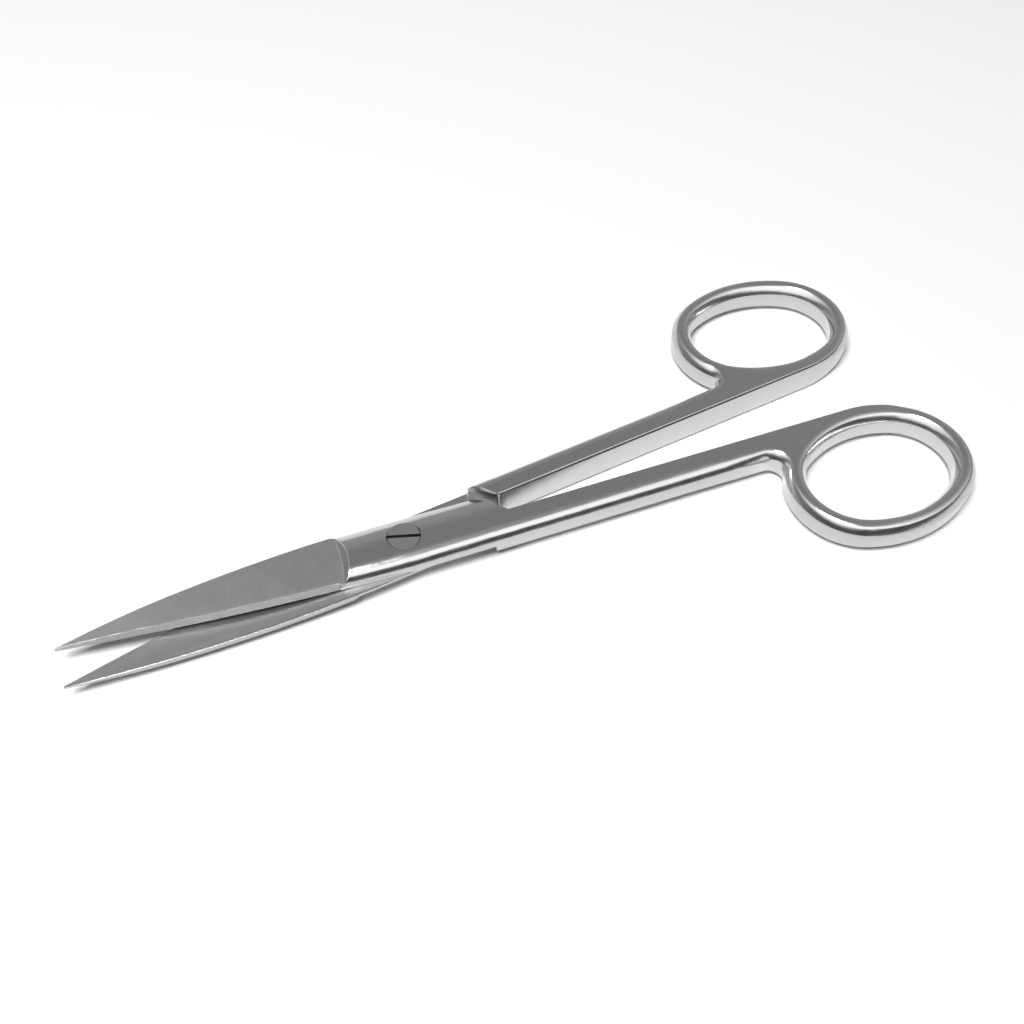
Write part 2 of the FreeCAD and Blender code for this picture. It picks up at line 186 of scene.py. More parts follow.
def arcThrough(x, start, end, radius, side):
    # height at x of the arc through both points that bulges up (side 1) or down (side -1):
    # its centre lies on the chord's bisector, and y = centre + side * sqrt(radius^2 - (x - centre)^2)
    (x0, y0), (x1, y1) = start, end
    chord = math.hypot(x1 - x0, y1 - y0)
    rise = math.sqrt(radius ** 2 - chord ** 2 / 4) / chord
    cx = (x0 + x1) / 2 + side * rise * (y1 - y0)
    cy = (y0 + y1) / 2 - side * rise * (x1 - x0)
    return cy + side * np.sqrt(np.maximum(radius ** 2 - (x - cx) ** 2, 0))


def nearOutline(x):
    # cutting edge, then the joint's slight flare, then the shank's straight outer side
    b, s = blade, shank
    edge = arcThrough(x, (-b["reach"], b["tipOffset"] + b["tipHalfWidth"]), (-b["heel"], b["edgeWidth"]),
                      b["edgeRadius"], 1)
    rise = s["outer"] - b["edgeWidth"]
    radius = (joint["flare"] ** 2 + rise ** 2) / (2 * rise)
    run = x - (joint["flare"] - b["heel"])
    flare = s["outer"] - radius + np.sqrt(np.maximum(radius ** 2 - run ** 2, 0))
    return np.where(x < -b["heel"], edge, np.where(run < 0, flare, s["outer"]))


def farOutline(x):
    # spine, back of the joint, slanting lap end, then the flat inner side of the shank
    b, j = blade, joint
    spine = arcThrough(x, (-b["reach"], b["tipOffset"] - b["tipHalfWidth"]), (-b["heel"], -b["spineWidth"]),
                       b["spineRadius"], -1)
    rise = j["back"] - b["spineWidth"]
    radius = (j["backTaper"] ** 2 + rise ** 2) / (2 * rise)
    run = np.minimum(x - (j["backTaper"] - b["heel"]), 0)
    back = -j["back"] + radius - np.sqrt(radius ** 2 - run ** 2)
    lap = np.interp(x, [j["lapCorner"], j["lapEnd"], j["lapMerge"]],
                    [-j["back"], -j["lapEndOffset"], shank["inner"]])
    return np.where(x < -b["heel"], spine, np.where(x < j["lapCorner"], back, lap))


def ringShareAt(x):
    # the outer rounding changes smoothly from the shank's to the ring's
    return smoothStep((x - shank["fadeStart"]) / (rootCentreX - shank["fadeStart"]))


def sideDrop(x, depth):
    # how far the face falls at a depth inside the outer side: the shank's fall plus a share of the
    # difference to the ring's, both read at the same part of their widths
    share = ringShareAt(x)
    scale = 1 + share * (ringDepth[-1] / shankDepth[-1] - 1)
    onShank = np.interp(depth / scale, shankDepth, shankDrop)
    onRing = np.interp(depth / scale * ringDepth[-1] / shankDepth[-1], ringDepth, ringDrop)
    return onShank + share * (onRing - onShank)


def softMax(a, b, blend):
    # mean of both plus half the root of their squared difference and the squared blend
    return (a + b + np.sqrt((a - b) ** 2 + blend ** 2)) / 2


def beyondGrinding(x, y):
    # distance outside the circle on which the grinding starts
    centreX = -blade["grindingReach"] - blade["grindingRadius"]
    return np.hypot(x - centreX, y + blade["grindingOffset"]) - blade["grindingRadius"]


def outerFace(x, y):
    # height of the outer face: the higher of the rounded side, the domed back, the ground face with
    # its run-out cone, the tip's thinning arc and the bevel's slope
    lowest = -3.0    # below every face, so that a soft blend stays level there
    near = nearOutline(x)
    beforeHeel = np.maximum(-blade["heel"] - x, 0)
    rounded = sideDrop(x, near - y) - blade["roundingFall"] * beforeHeel
    reach = np.maximum(joint["domeStart"] - y, 0)
    dome = joint["domeRadius"] - np.sqrt(np.maximum(joint["domeRadius"] ** 2 - reach ** 2, 0))
    dome = np.where(x < joint["lapMerge"], dome, 0)
    dome = dome - blade["domeFall"] * np.maximum(-blade["grindingReach"] - x, 0)
    jointFace = np.maximum(rounded, dome)
    beyond = softMax(beyondGrinding(x, y), 0, blade["grindingBlend"])
    thinned = blade["thickness"] - blade["tipThickness"]
    thinRadius = ((blade["reach"] - blade["thinningStart"]) ** 2 + thinned ** 2) / (2 * thinned)
    run = np.maximum(-blade["thinningStart"] - x, 0)
    thinning = thinRadius - np.sqrt(thinRadius ** 2 - run ** 2)
    ground = faceLevel + thinning - beyond / math.tan(math.radians(blade["grindingSlope"]))
    bevel = joint["lapFace"] - blade["edgeLand"] - (near - y) * bevelTan
    bevel = bevel - blade["bevelFall"] * np.maximum(x + blade["heel"], 0)
    face = softMax(jointFace, np.maximum(ground, lowest), blade["grindingBlend"])
    onBlade = x < -blade["grindingReach"] + blade["blendReach"]
    face = np.where(onBlade, face, jointFace)
    return np.where(onBlade, softMax(face, np.maximum(bevel, lowest), blade["bevelBlend"]), face)


def bowAt(x):
    # parabola over the blade's length, nothing at the joint and the tip and most in the middle
    t = np.clip((-x - blade["hollowStart"]) / (blade["reach"] - blade["hollowStart"]), 0, 1)
    return blade["bow"] * 4 * t * (1 - t)


def lapHeight(x, y):
    # the inner face, with a shallow trough that narrows and fades towards the tip
    t = (-x - blade["hollowStart"]) / (blade["hollowEnd"] - blade["hollowStart"])
    width = blade["hollowHeel"] + (blade["hollowTip"] - blade["hollowHeel"]) * t
    depth = blade["hollowDepth"] * (width / blade["hollowHeel"]) ** 2
    inside = (t > 0) & (t < 1)
    return joint["lapFace"] - np.where(inside, depth * np.maximum(1 - (y / width) ** 2, 0), 0)


def armStations():
    # places of the cross-sections along x, dense where the form changes quickly: from, to and step
    b, j = blade, joint
    spans = [(-b["reach"] + 0.04, -50.0, 0.13), (-50.0, -12.2, 0.34), (-12.2, -8.4, 0.06),
             (-8.4, 12.1, 0.4), (12.1, 13.15, 0.15), (13.25, 16.2, 0.1), (16.28, 16.33, 0.05),
             (16.4, j["lapMerge"], 0.1), (j["lapMerge"] + 0.1, shank["fadeStart"], 1.1),
             (shank["fadeStart"], rootCentreX, 0.5)]
    runs = [np.linspace(a, c, max(2, int(round((c - a) / step)) + 1)) for a, c, step in spans]
    marks = [-b["heel"], j["backTaper"] - b["heel"], j["flare"] - b["heel"], j["lapCorner"], j["lapEnd"]]
    return np.unique(np.round(np.concatenate(runs + [marks]), 6))


def armLoops():
    # closed (y, z) loops, one for each place along x: outer face from the rounded side to the back,
    # then the lap face, the shoulder's wall and the upper face back to the rounded side
    x = armStations()[:, None]
    near, far = nearOutline(x), farOutline(x)
    width = near - far
    tipScale = np.minimum(1, width / blade["tipFadeWidth"])
    rise = smoothStep((x + blade["heel"] + blade["heelFadeStart"]) / blade["heelFade"])
    share = ringShareAt(x)
    side = shankDepth + share * (ringDepth - shankDepth)
    zone = (bevelWidth + rise * (side[:, -1:] - bevelWidth)) * tipScale
    fullBack = smoothStep((x - joint["lapMerge"] + joint["backFade"]) / joint["backFade"])
    corner = blade["cornerRounding"] * tipScale
    lapRounding = corner * blade["lapRoundingShare"]
    farDepth = corner * circleDepth + fullBack * (cornerDepth - corner * circleDepth)
    farDrop = corner * circleDrop + fullBack * (cornerDrop - corner * circleDrop)
    hold = grid["holdWidth"] * tipScale
    across = np.linspace(0, 1, grid["faceSteps"] + 2)[None, :]

    shoulder = near - (near - shank["inner"]) * np.clip(
        (x - joint["shoulderOuter"]) / (joint["shoulderInner"] - joint["shoulderOuter"]), 0, 1)
    shoulder = np.where(x > joint["shoulderInner"], far, shoulder)
    fullHeight = x > joint["shoulderInner"]
    lapOnly = x < joint["shoulderOuter"] + 0.01

    # outer face
    yNear = near - zone * side / side[:, -1:]
    yFlat = (near - zone - hold) + across * ((far + farDepth[:, -1:] + hold) - (near - zone - hold))
    yFar = far + farDepth[:, ::-1]
    zNear, zFlat = outerFace(x, yNear), outerFace(x, yFlat)
    zFar = outerFace(x, yFar) + farDrop[:, ::-1]
    zFarWall = np.where(fullHeight, half, (zFar[:, -1:] + joint["lapFace"] - lapRounding) / 2)

    # lap face and shoulder
    lapPhi = np.linspace(math.pi / 2, 0, grid["lapCornerSteps"])[None, :]
    lapCorner = np.where(fullHeight, 0, lapRounding)
    yLapCorner = far + lapCorner * (1 - np.sin(lapPhi))
    zLapCorner = np.where(fullHeight, half, lapHeight(x, yLapCorner)) - lapCorner * (1 - np.cos(lapPhi))
    lapAcross = np.linspace(0, 1, grid["lapSteps"] + 1)[None, 1:]
    yLap = (far + lapCorner) + lapAcross * (shoulder - far - lapCorner)
    zLap = np.where(fullHeight, half, lapHeight(x, yLap))

    # upper face, mirrored from the outer one; its strips shrink where the shoulder leaves little room
    room = near - shoulder
    topScale = np.minimum(1, room / 3 / cornerDepth[-1])
    topHold = np.minimum(grid["holdWidth"], room / 8)
    yTopCorner = shoulder + topScale * cornerDepth
    flatFrom = yTopCorner[:, -1:] + topHold
    flatTo = np.maximum(near - side[:, -1:] - grid["holdWidth"], flatFrom + room / 50)
    yTopFlat = flatFrom + across * (flatTo - flatFrom)
    creep = room / 100 * np.linspace(0, 1, len(angles) + 1)[None, 1:]
    yTopNear = np.minimum(np.maximum(near - side[:, ::-1], flatTo + creep), near)

    def topHeight(y):
        return shank["thickness"] - sideDrop(x, near - y)

    zTopCorner = topHeight(yTopCorner) - topScale * cornerDrop
    zTopFlat, zTopNear = topHeight(yTopFlat), topHeight(yTopNear)
    zNearWall = np.where(lapOnly, (zNear[:, :1] + joint["lapFace"]) / 2, half)

    ys = [near, yNear, yFlat, yFar, far, yLapCorner, yLap]
    zs = [zNearWall, zNear, zFlat, zFar, zFarWall, zLapCorner, zLap]
    for y, z in ((yTopCorner, zTopCorner), (yTopFlat, zTopFlat), (yTopNear, zTopNear)):
        ys.append(np.where(lapOnly, near, y))
        zs.append(np.where(lapOnly, joint["lapFace"], z))
    y, z = np.concatenate(ys, axis=1), np.concatenate(zs, axis=1) - bowAt(x)
    return np.stack([np.broadcast_to(x, y.shape), y, z], axis=2)


def ringPoints(angle, offset):
    # oval of four tangent arcs: the point whose outward normal has that angle, moved out by the offset
    a = (angle + tilt + math.pi) % (2 * math.pi) - math.pi
    size = np.abs(a)
    atEnd = (size < meetAngle) | (size > math.pi - meetAngle)
    along = np.where(atEnd, np.where(size < meetAngle, endCentre, -endCentre), 0)
    over = np.where(atEnd, 0, np.where(a > 0, -sideCentre, sideCentre))
    radius = np.where(atEnd, holeEnd, holeSide) + offset
    along, over = along + radius * np.cos(a), over + radius * np.sin(a)
    return (ring["reach"] + along * math.cos(tilt) + over * math.sin(tilt),
            ringY - along * math.sin(tilt) + over * math.cos(tilt))


def ringLoops():
    # the ring and its root as a band round the hole: each column runs from the hole's waist over its
    # rounding and the flat to the outer rounding and waist; the open columns meet the shank's section
    free = np.linspace(-math.pi / 2, math.pi + rootAngle, grid["ringSteps"])
    fx, fy = ringPoints(free, ring["width"])
    fadeEnd = tilt + math.pi / 2 - meetAngle
    fade = smoothStep((free + math.pi / 2) / fadeEnd)
    turn = np.linspace(rootAngle, -math.pi / 2, grid["rootSteps"])[1:]
    rx, ry = rootCentreX + ring["rootRadius"] * np.cos(turn), rootCentreY + ring["rootRadius"] * np.sin(turn)
    across = np.linspace(0, 1, grid["faceSteps"] + 2)
    top = shank["outer"] - ringDepth[-1] - grid["holdWidth"]
    low = shank["inner"] + cornerDepth[-1] + grid["holdWidth"]
    cutY = top + across * (low - top)
    lineX = np.linspace(rootCentreX, fadeX, grid["innerSteps"])
    outX = np.concatenate([fx, rx, lineX])
    outY = np.concatenate([fy, ry, np.full(len(lineX), shank["inner"])])
    normalX = np.concatenate([np.cos(free), -np.cos(turn), np.zeros(len(lineX))])
    normalY = np.concatenate([np.sin(free), -np.sin(turn), -np.ones(len(lineX))])
    ringShare = np.concatenate([fade, np.ones(len(turn)), np.zeros(len(lineX))])[:, None]
    depth = (cornerDepth + ringShare * (ringDepth - cornerDepth))[:, ::-1]
    depth = np.concatenate([depth[:, :1] + grid["holdWidth"], depth, 0 * ringShare], axis=1)
    height = half - (cornerDrop + ringShare * (ringDrop - cornerDrop))[:, ::-1]
    height = np.concatenate([0 * ringShare + half, height, 0 * ringShare], axis=1)
    outer = np.stack([outX[:, None] - normalX[:, None] * depth,
                      outY[:, None] - normalY[:, None] * depth, height], 2)
    freeCount = len(fx) + len(rx)
    cut = np.stack([np.full(len(cutY), rootCentreX), cutY, np.full(len(cutY), half)], 1)

    hold = np.concatenate([outer[:freeCount, 0], cut, outer[freeCount:, 0]])
    # the hole's points keep level with the root's, then spread evenly as far as the ring's lowest side
    probe = np.linspace(math.pi + rootAngle, 1.5 * math.pi, 400)
    probeY = ringPoints(probe, ringDepth[-1])[1]
    level = np.interp(-hold[len(fx):freeCount, 1], -probeY, probe)
    step = np.linalg.norm(np.diff(hold[freeCount - 1:], axis=0), axis=1)
    rest = level[-1] + np.cumsum(step) / step.sum() * (1.5 * math.pi - level[-1])
    angle = np.concatenate([free, level, rest])[:, None]
    offset = np.concatenate([[0], ringDepth, [ringDepth[-1] + grid["holdWidth"] / 4]])
    rise = np.concatenate([[0], half - ringDrop, [half]])
    hx, hy = ringPoints(angle, offset)
    hole = np.stack([hx, hy, np.broadcast_to(rise, hx.shape)], 2)
    return outer[:freeCount], outer[freeCount:], hole, hold


def quads(rows, columns, closeColumns, first=0):
    # corner numbers of the faces of a rows x columns grid, closed over its columns if asked
    r = np.arange(rows - 1)[:, None]
    c = np.arange(columns if closeColumns else columns - 1)[None, :]
    following = (c + 1) % columns
    corners = np.stack(np.broadcast_arrays(r * columns + c, r * columns + following,
                                           (r + 1) * columns + following, (r + 1) * columns + c), 2)
    return corners.reshape(-1, 4) + first


def halfSurface():
    # one half: the arm's loops closed at the tip, and the ring's bands above and below mid-height
    points, faces, count = [], [], 0

    def addGrid(array, closeColumns=False):
        nonlocal count
        rows, columns = array.shape[:2]
        points.append(array.reshape(-1, 3))
        faces.append(quads(rows, columns, closeColumns, count))
        count += rows * columns

    arm = armLoops()
    tip = np.array([-blade["reach"] + 0.01, blade["tipOffset"], joint["lapFace"] - blade["tipThickness"] / 2])
    addGrid(np.concatenate([np.broadcast_to(tip, (1,) + arm.shape[1:]), arm]), True)
    free, line, hole, hold = ringLoops()
    for side in (1, -1):
        mirror = np.array([1, 1, side])
        middle = np.array([0, 0, half])
        hollowBand = np.concatenate([hole, hold[:, None]], axis=1)
        addGrid(hollowBand * mirror + middle)
        addGrid(free * mirror + middle)
        addGrid(line * mirror + middle)
    return np.concatenate(points), np.concatenate(faces)


def placed(name, data):
    thing = bpy.data.objects.new(name, data)
    bpy.context.scene.collection.objects.link(thing)
    return thing


def makeObject(name, points, faces, place):
    # points in mm in the piece's own frame, placed in the frame of the whole by the matrix
    mesh = bpy.data.meshes.new(name)
    mesh.from_pydata((points * 0.001).tolist(), [], faces.tolist())
    work = bmesh.new()
    work.from_mesh(mesh)
    bmesh.ops.remove_doubles(work, verts=work.verts, dist=grid["mergeDistance"])
    bmesh.ops.dissolve_degenerate(work, edges=work.edges, dist=grid["sliverLength"])
    bmesh.ops.recalc_face_normals(work, faces=work.faces)
    openEdges = sum(1 for edge in work.edges if len(edge.link_faces) != 2)
    work.to_mesh(mesh)
    work.free()
    mesh.transform(place)
    print(name, len(mesh.polygons), "faces,", openEdges, "open edges")
    return placed(name, mesh)


def lathe(name, profile, sides, place):
    # profile of (radius, height) turned about z, closed by its own axis points
    turn = np.linspace(0, 2 * math.pi, sides, endpoint=False)[:, None]
    radius, height = np.array(profile).T
    level = np.broadcast_to(height, (sides, len(height)))
    points = np.stack([radius * np.cos(turn), radius * np.sin(turn), level], 2)
    ringed = np.concatenate([points, points[:1]])
    return makeObject(name, ringed.reshape(-1, 3), quads(sides + 1, len(profile), False), place)


def bored(thing, profile, place):
    # takes the turned profile out of the piece
    cutter = lathe("cutter", profile, joint["boreSides"], place)
    cut = thing.modifiers.new("bore", "BOOLEAN")
    cut.operation, cut.solver, cut.object = "DIFFERENCE", "EXACT", cutter
    graph = bpy.context.evaluated_depsgraph_get()
    mesh = bpy.data.meshes.new_from_object(thing.evaluated_get(graph))
    thing.modifiers.clear()
    thing.data = mesh
    bpy.data.objects.remove(cutter)
    return thing


def shaded(thing, sharpAngle):
    mesh = thing.data
    mesh.polygons.foreach_set("use_smooth", np.ones(len(mesh.polygons), bool))
    mesh.set_sharp_from_angle(angle=math.radians(sharpAngle))


def addFields(thing, place, shift):
    # own-frame coordinates, the zones of the finish and the painted shade, kept on the points for the
    # material
    mesh = thing.data
    count = len(mesh.vertices)
    co = np.empty(count * 3)
    mesh.vertices.foreach_get("co", co)
    back = np.array(place.inverted())
    own = (co.reshape(-1, 3) @ back[:3, :3].T + back[:3, 3]) * 1000
    x, y, z = own.T
    z = z + bowAt(x)
    inFromEdge = nearOutline(x) - y
    underFace = z < joint["lapFace"] - 0.12
    onEdge = (x < -blade["heel"] + 0.8) & (inFromEdge < bevelWidth + 0.01) & (z > faceLevel - 0.01)
    inBore = (np.hypot(x, y) < joint["headBore"] + 0.01) & (z > 0.02)
    onStep = ((x > joint["stepStart"]) & (x < joint["stepEnd"]) & (z > joint["stepLow"])
              & (z < joint["stepHigh"]) & (inFromEdge > joint["stepInset"]))
    onLap = ((np.abs(z - lapHeight(x, y)) < 0.02) & (x < joint["shoulderOuter"]) & (inFromEdge > 0.04)
             & (y > farOutline(x) + 0.1))
    fields = {
        # painted shade: darkest in the bores round the screw, lighter on the step under the slanting shoulder
        "paintedShade": np.where(inBore, 1.0, np.where(onStep, joint["stepShade"], 0.0)),
        "bevel": np.where(onEdge & (z < joint["lapFace"] - 0.01), 1.0, 0.0),
        "ground": np.where(underFace & (beyondGrinding(x, y) < 0.15), 1.0, 0.0),
        "lapped": np.where(onLap, 1.0, 0.0),
    }
    for name, values in fields.items():
        mesh.attributes.new(name, "FLOAT", "POINT").data.foreach_set("value", values.astype(np.float32))
    placeField = mesh.attributes.new("place", "FLOAT_VECTOR", "POINT")
    placeField.data.foreach_set("vector", (own + [0, 0, shift]).astype(np.float32).ravel())


turnHalf = math.radians(shank["opening"] / 2)
lowerPlace = Matrix.Rotation(turnHalf, 4, "Z")
upperPlace = (Matrix.Translation((0, 0, shank["thickness"] * 0.001)) @ Matrix.Rotation(-turnHalf, 4, "Z")
              @ Matrix.Rotation(math.pi, 4, "X"))
halfPoints, halfFaces = halfSurface()
lowerHalf = makeObject("lower_half_forging", halfPoints, halfFaces, lowerPlace)
upperHalf = makeObject("upper_half_forging", halfPoints, halfFaces, upperPlace)
threadBore, shankBore, headBore = joint["threadBore"], joint["shankBore"], joint["headBore"]
bored(lowerHalf, [(0, -1), (threadBore, -1), (threadBore, 4), (0, 4)], lowerPlace)
bored(upperHalf, [(0, -1), (headBore, -1), (headBore, joint["headLand"]),
                  (shankBore, joint["headLand"] + headBore - shankBore), (shankBore, 4), (0, 4)], upperPlace)
for thing, place, body, shift in ((lowerHalf, lowerPlace, "lower", 0), (upperHalf, upperPlace, "upper", 200)):
    shaded(thing, grid["sharpAngle"])
    addFields(thing, place, shift)
    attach(thing, body)
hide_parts("lower_half")
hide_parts("upper_half")
print("halves made")


class Wire:
    # one value in a shader tree; arithmetic on it adds Math nodes
    def __init__(self, tree, socket=None):
        self.tree, self.socket = tree, socket

    def node(self, kind, settings=None, inputs=None, output=0):
        made = self.tree.nodes.new(kind)
        for name, value in (settings or {}).items():
            setattr(made, name, value)
        for name, value in (inputs or {}).items():
            if isinstance(value, Wire):
                self.tree.links.new(value.socket, made.inputs[name])
            else:
                made.inputs[name].default_value = value
        return Wire(self.tree, made.outputs[output] if made.outputs else None)

    def maths(self, operation, first, second):
        return self.node("ShaderNodeMath", {"operation": operation}, {0: first, 1: second})

    def __add__(self, other):
        return self.maths("ADD", self, other)

    def __sub__(self, other):
        return self.maths("SUBTRACT", self, other)

    def __rsub__(self, other):
        return self.maths("SUBTRACT", other, self)

    def __mul__(self, other):
        return self.maths("MULTIPLY", self, other)

    __radd__, __rmul__ = __add__, __mul__


def newMaterial(name):
    material = bpy.data.materials.new(name)
    material.use_nodes = True
    material.node_tree.nodes.clear()
    return material, Wire(material.node_tree)


def pattern(root, place, stretch, scale, detail=3.0, roughness=0.55):
    # noise drawn out along the axes that have a small stretch
    stretched = root.node("ShaderNodeVectorMath", {"operation": "MULTIPLY"}, {0: place, 1: stretch})
    return root.node("ShaderNodeTexNoise", {}, {"Vector": stretched, "Scale": scale, "Detail": detail,
                                                "Roughness": roughness})


def mixColours(root, factor, first, second):
    return root.node("ShaderNodeMix", {"data_type": "RGBA"}, {0: factor, 6: first, 7: second}, 2)


forgedSteel = {
    "colour": (0.565, 0.557, 0.55, 1),
    "groundColour": (0.475, 0.468, 0.49, 1),
    "lappedColour": (0.41, 0.404, 0.42, 1),
    "bevelColour": (0.66, 0.65, 0.645, 1),
    "shadowedColour": (0.42, 0.412, 0.42, 1),    # in the pits of the ground faces
    # painted shade for the bores and the step under the shoulder
    "paintedShadeColour": (0.05, 0.046, 0.044, 1),
    "satinRoughness": 0.17,
    "groundRoughness": 0.36,
    "bevelRoughness": 0.42,
    "bumpDistance": 0.00006,
    # patterns: stretch along the three axes, scale, detail and, for some, roughness
    "wheelMarks": ((7, 0.35, 0.35), 1.6, 4),      # across the blade
    "polishingMarks": ((0.25, 6, 6), 1.1, 3),     # along the shank
    "fineMarks": ((1, 1, 1), 9, 3, 0.6),
    "clouding": ((1, 1, 1), 0.35, 2),
    "pitting": ((1.6, 1, 1), 3.2, 5, 0.7),
}


def forgedSteelMaterial():
    m = forgedSteel
    material, root = newMaterial("forgedSteel")
    place = root.node("ShaderNodeAttribute", {"attribute_name": "place"}, output="Vector")
    ground = root.node("ShaderNodeAttribute", {"attribute_name": "ground"}, output="Fac")
    bevel = root.node("ShaderNodeAttribute", {"attribute_name": "bevel"}, output="Fac")
    lapped = root.node("ShaderNodeAttribute", {"attribute_name": "lapped"}, output="Fac")
    matte = root.node("ShaderNodeMath", {"operation": "MAXIMUM"}, {0: ground, 1: lapped})
    crossGrain = pattern(root, place, *m["wheelMarks"])
    longGrain = pattern(root, place, *m["polishingMarks"])
    fine = pattern(root, place, *m["fineMarks"])
    coarse = pattern(root, place, *m["clouding"])
    pits = pattern(root, place, *m["pitting"])
    roughness = m["satinRoughness"] + (fine - 0.5) * 0.08 + (longGrain - 0.5) * 0.08 + (coarse - 0.5) * 0.08
    groundRoughness = m["groundRoughness"] + (crossGrain - 0.5) * 0.14 + (coarse - 0.5) * 0.06
    bevelRoughness = m["bevelRoughness"] + (pits - 0.5) * 0.3
    roughness = roughness + matte * (groundRoughness - roughness)
    roughness = roughness + bevel * (bevelRoughness - roughness)
    plain = 1 - root.node("ShaderNodeMath", {"operation": "MAXIMUM"}, {0: matte, 1: bevel})
    height = (plain * (longGrain * 0.22 + coarse * 1.3 + fine * 0.07) + matte * crossGrain * 0.3
              + matte * fine * 0.12 + bevel * pits * 4.0)
    bump = root.node("ShaderNodeBump", {}, {"Strength": 0.5, "Distance": m["bumpDistance"], "Height": height})
    shade = matte * (1 - crossGrain) * 0.45 + bevel * (1 - pits) * 1.1 + (1 - coarse) * 0.1
    colour = mixColours(root, matte, m["colour"], m["groundColour"])
    colour = mixColours(root, lapped, colour, m["lappedColour"])
    colour = mixColours(root, bevel, colour, m["bevelColour"])
    colour = mixColours(root, shade, colour, m["shadowedColour"])
    # painted shade in the bores and on the step, which also makes them rougher
    paintedShade = root.node("ShaderNodeAttribute", {"attribute_name": "paintedShade"}, output="Fac")
    colour = mixColours(root, paintedShade, colour, m["paintedShadeColour"])
    steel = root.node("ShaderNodeBsdfPrincipled", {}, {"Base Color": colour, "Metallic": 1.0,
                                                       "Roughness": roughness + paintedShade * 0.3, "Normal": bump})
    root.node("ShaderNodeOutputMaterial", {}, {"Surface": steel})
    return material


screwSteel = {
    "colour": (0.60, 0.592, 0.585, 1),
    # painted shade in the slot and round the head's rim
    "slotShadeColour": (0.012, 0.011, 0.01, 1),
    "wornColour": (0.45, 0.44, 0.432, 1),
    "roughness": 0.24,
    "bumpDistance": 0.00002,
    "slotLevel": 0.005458,        # metres: painted shade below this height, in the slot and down the head's rim, and plain steel above this one
    "headLevel": 0.005468,        # and plain steel above this one
    "weldDistance": 1e-6,
    "edgeAngle": 30,
}


def screwSteelMaterial():
    m = screwSteel
    material, root = newMaterial("screwSteel")
    place = root.node("ShaderNodeTexCoord", output="Object")
    depth = root.node("ShaderNodeSeparateXYZ", {}, {"Vector": place}, "Z")
    fine = pattern(root, place, (1, 1, 1), 7000, 3)
    turned = root.node("ShaderNodeTexWave", {"wave_type": "RINGS", "rings_direction": "Z"},
                       {"Vector": place, "Scale": 1500, "Distortion": 1.2, "Detail": 2})
    coarse = pattern(root, place, (1, 1, 1), 500, 2)
    # painted shade below the slot level: in the slot and round the head's rim
    below = root.node("ShaderNodeMapRange", {}, {0: depth, 1: m["slotLevel"], 2: m["headLevel"],
                                                 3: 1.0, 4: 0.0})
    colour = mixColours(root, below, m["colour"], m["slotShadeColour"])
    colour = mixColours(root, (1 - coarse) * 0.25, colour, m["wornColour"])
    height = turned * 0.2 + coarse * 1.5 + fine * 0.2
    bump = root.node("ShaderNodeBump", {}, {"Strength": 0.5, "Distance": m["bumpDistance"], "Height": height})
    roughness = m["roughness"] + (fine - 0.5) * 0.16 + below * 0.4
    steel = root.node("ShaderNodeBsdfPrincipled", {}, {"Base Color": colour, "Metallic": 1.0,
                                                       "Roughness": roughness, "Normal": bump})
    root.node("ShaderNodeOutputMaterial", {}, {"Surface": steel})
    return material


steelOfHalves = forgedSteelMaterial()
for thing in (lowerHalf, upperHalf):
    thing.data.materials.append(steelOfHalves)
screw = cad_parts["pivot_screw"]
screw.material_slots[0].material = screwSteelMaterial()
weld = screw.modifiers.new("weld", "WELD")
weld.merge_threshold = screwSteel["weldDistance"]
split = screw.modifiers.new("edges", "EDGE_SPLIT")
split.split_angle = math.radians(screwSteel["edgeAngle"])
print("materials made")

studio = {
    "floorSize": 3.0,
    "floorColour": (0.92, 0.92, 0.915, 1),
    "floorLift": 0.03,            # makes the lit floor white for the camera
    "room": 0.06,                 # plain grey light from all round
    "keyRadiance": 19.5,
    "keyRadius": 0.25,
    "keyDistance": 1.0,
    "keyElevation": 71.0,
    "keyAzimuth": -58.0,
    "frontGlow": 1.75,            # what the steel sees in front, between two elevations
    "domeRadius": 1.1,
    "domeLow": -8.0,              # degrees, the dome's lower rim
    "domeColumns": 97,
    "domeRows": 60,
}
photoView = {
    "lookAt": (0.01876, 0.00144, 0.0),
    "elevation": 51.222,
    "azimuth": -24.392,
    "roll": -0.034,
    "distance": 0.183517,
    "focalPixels": 1139.95,
    "framePixels": 1024,
    "sensor": 36.0,
}


def direction(azimuth, elevation):
    # unit vector towards a place round the object, azimuth 0 being straight in front
    a, e = math.radians(azimuth), math.radians(elevation)
    return Vector((math.sin(a) * math.cos(e), -math.cos(a) * math.cos(e), math.sin(e)))


def rayIs(root, kind):
    # 1 on rays of this kind, 0 on all others
    return root.node("ShaderNodeLightPath", output="Is " + kind + " Ray")


# the power of a round lamp is its radiance times pi times its area
keyLamp = bpy.data.lights.new("keyLight", "AREA")
keyLamp.shape, keyLamp.size = "DISK", 2 * studio["keyRadius"]
keyLamp.energy = studio["keyRadiance"] * math.pi * math.pi * studio["keyRadius"] ** 2
keyLight = placed("keyLight", keyLamp)
toKey = direction(studio["keyAzimuth"], studio["keyElevation"])
keyLight.location = toKey * studio["keyDistance"]
keyLight.rotation_euler = toKey.to_track_quat("Z", "Y").to_euler()

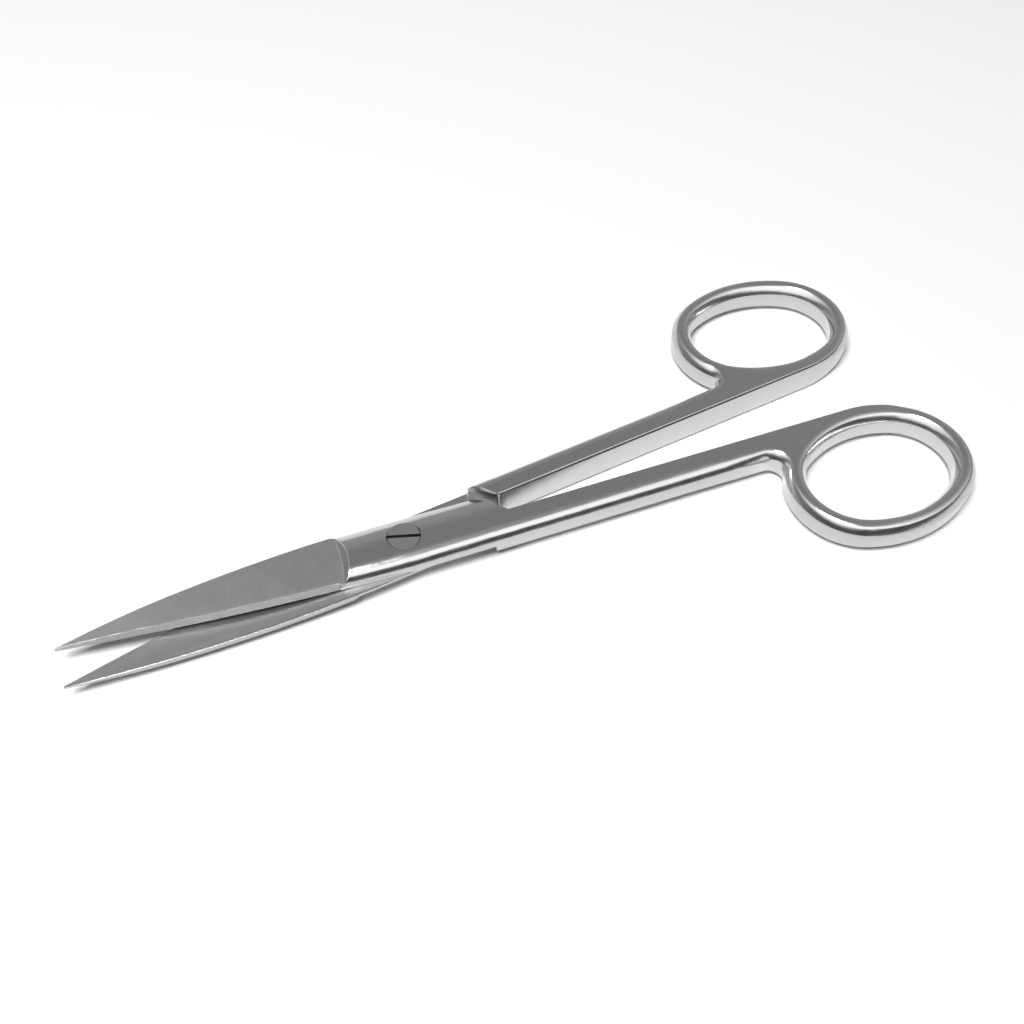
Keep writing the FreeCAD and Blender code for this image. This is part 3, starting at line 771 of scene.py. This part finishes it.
floorHalf = studio["floorSize"] / 2
floorMesh = bpy.data.meshes.new("floor")
floorMesh.from_pydata([(-floorHalf, -floorHalf, 0), (floorHalf, -floorHalf, 0), (floorHalf, floorHalf, 0),
                       (-floorHalf, floorHalf, 0)], [], [(0, 1, 2, 3)])
floor = placed("floor", floorMesh)
floorMaterial, root = newMaterial("paleFloor")
paper = root.node("ShaderNodeBsdfPrincipled", {}, {"Base Color": studio["floorColour"], "Roughness": 0.8,
                                                   "Specular IOR Level": 0.0})
lifted = (rayIs(root, "Camera") + rayIs(root, "Transmission")) * studio["floorLift"]
lift = root.node("ShaderNodeEmission", {}, {"Color": lifted, "Strength": 1.0})
both = root.node("ShaderNodeAddShader", {}, {0: paper, 1: lift})
root.node("ShaderNodeOutputMaterial", {}, {"Surface": both})
floorMesh.materials.append(floorMaterial)


def studioShade(azimuth, elevation):
    # brightness of the studio in a direction, azimuth measured from the camera's side: dark low in
    # front, grey high behind, paler low behind
    front = (1 + np.cos(azimuth)) / 2
    behind = np.interp(elevation, [0, 25, 45, 60, 75, 90], [0.42, 0.42, 0.31, 0.29, 0.33, 0.36])
    glow = studio["frontGlow"]
    ahead = np.interp(elevation, [0, 20, 25, 58, 66, 90], [0.06, 0.06, glow, glow, 0.42, 0.36])
    return behind + smoothStep(front) * (ahead - behind)


domeAzimuth = np.linspace(-math.pi, math.pi, studio["domeColumns"])[:, None]
domeElevation = np.linspace(studio["domeLow"], 90, studio["domeRows"])[None, :]
domeRise = np.radians(domeElevation)
turned = domeAzimuth + math.radians(photoView["azimuth"])
domePoints = studio["domeRadius"] * np.stack(np.broadcast_arrays(
    np.sin(turned) * np.cos(domeRise), -np.cos(turned) * np.cos(domeRise), np.sin(domeRise)), 2)
domeMesh = bpy.data.meshes.new("studio_dome")
domeFaces = quads(studio["domeColumns"], studio["domeRows"], False)
domeMesh.from_pydata(domePoints.reshape(-1, 3).tolist(), [], domeFaces.tolist())
glow = studioShade(domeAzimuth, domeElevation).astype(np.float32)
domeMesh.attributes.new("glow", "FLOAT", "POINT").data.foreach_set("value", glow.ravel())
dome = placed("studio_dome", domeMesh)
domeMaterial, root = newMaterial("studioWalls")
shine = root.node("ShaderNodeAttribute", {"attribute_name": "glow"}, output="Fac")
walls = root.node("ShaderNodeEmission", {}, {"Color": shine, "Strength": 1.0})
root.node("ShaderNodeOutputMaterial", {}, {"Surface": walls})
domeMesh.materials.append(domeMaterial)
dome.visible_camera = dome.visible_diffuse = dome.visible_shadow = dome.visible_transmission = False

world = bpy.data.worlds.new("studioWorld")
bpy.context.scene.world = world
world.use_nodes = True
world.node_tree.nodes.clear()
root = Wire(world.node_tree)
background = rayIs(root, "Camera") + rayIs(root, "Glossy") + rayIs(root, "Transmission")
brightness = studio["room"] + background * (1 - studio["room"])
surround = root.node("ShaderNodeBackground", {}, {"Color": brightness, "Strength": 1.0})
root.node("ShaderNodeOutputWorld", {}, {"Surface": surround})

toCamera = direction(photoView["azimuth"], photoView["elevation"])
across = math.radians(photoView["azimuth"])
sideways = Vector((math.cos(across), math.sin(across), 0))
upwards = toCamera.cross(sideways)
roll = math.radians(photoView["roll"])
axes = Matrix((sideways * math.cos(roll) + upwards * math.sin(roll),
               upwards * math.cos(roll) - sideways * math.sin(roll), toCamera)).transposed().to_4x4()
axes.translation = Vector(photoView["lookAt"]) + toCamera * photoView["distance"]
lens = bpy.data.cameras.new("photoCamera")
camera = placed("photoCamera", lens)
camera.matrix_world = axes
lens.sensor_width = photoView["sensor"]
lens.lens = photoView["sensor"] * photoView["focalPixels"] / photoView["framePixels"]
lens.clip_start = 0.01
bpy.context.scene.camera = camera
bpy.context.scene.view_settings.view_transform = "Standard"
print("studio and camera made")
